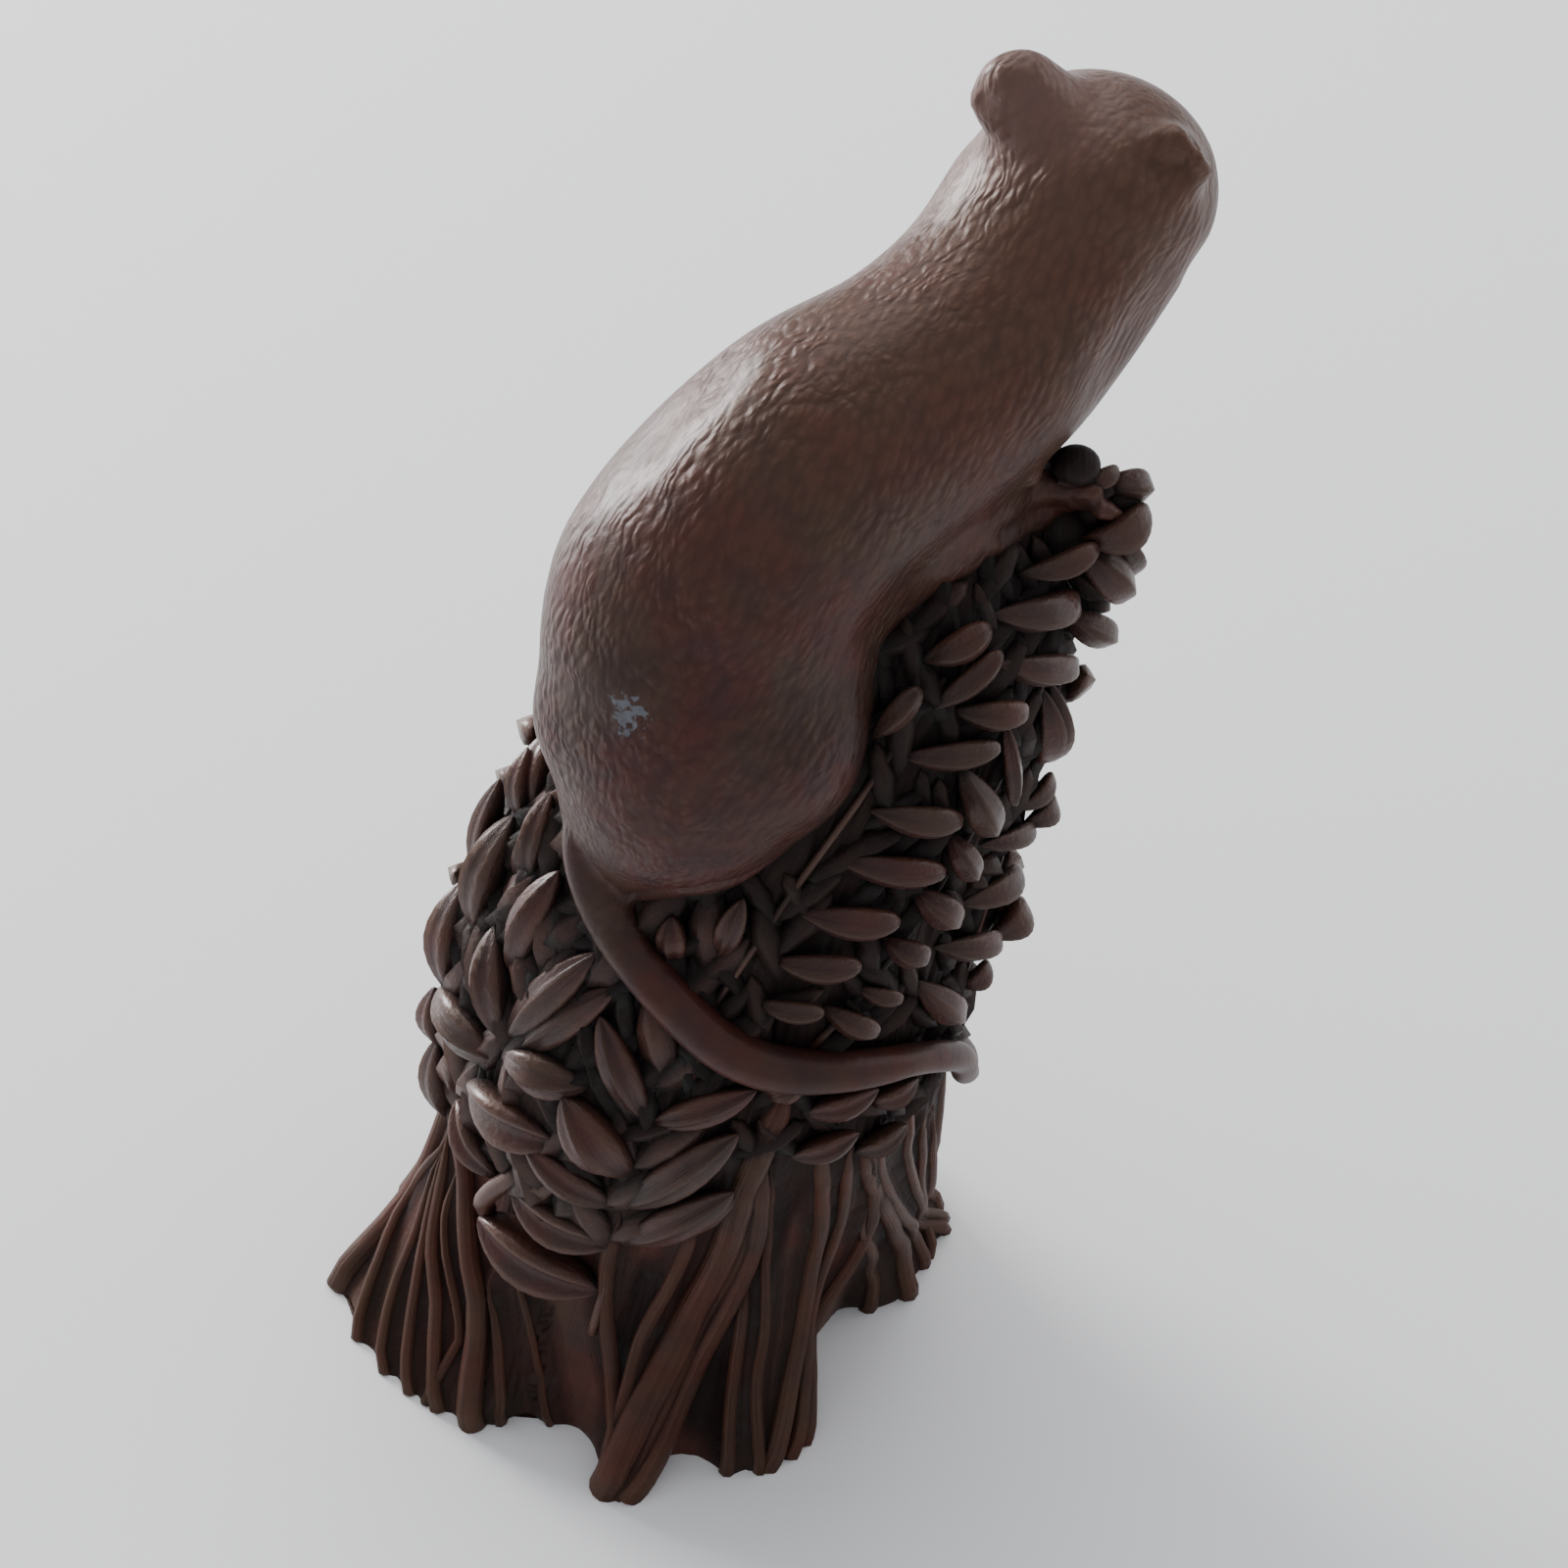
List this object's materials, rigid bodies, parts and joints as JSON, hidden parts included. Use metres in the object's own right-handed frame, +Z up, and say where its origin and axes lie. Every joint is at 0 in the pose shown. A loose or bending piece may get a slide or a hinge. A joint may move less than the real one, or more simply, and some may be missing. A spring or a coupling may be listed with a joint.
{
  "type": "mouse sculpture",
  "caption": "Small cast ornament of dark bronze-filled resin: a mouse climbs over the crown of a wheat sheaf, its tail belted around the sheaf, whose stalks flare to a flat scalloped foot.",
  "frame": {"origin": "on the ground, at the middle of the bottom of the part's bounding box", "axes": "+Z up, -Y toward the front where the bare panel and the low wheat ear are, +X to the right; the sheaf leans to +X and the mouse climbs toward +X and +Y"},
  "size_m": [0.0838, 0.0708, 0.1333],
  "materials": {
    "bronze_resin": "dark brown bronze-filled resin, satin, near black in the crevices and rubbed lighter brown on the grains and stalks"
  },
  "bodies": {
    "root": {"mouse_on_wheatsheaf": "bronze_resin"}
  },
  "joints": []
}
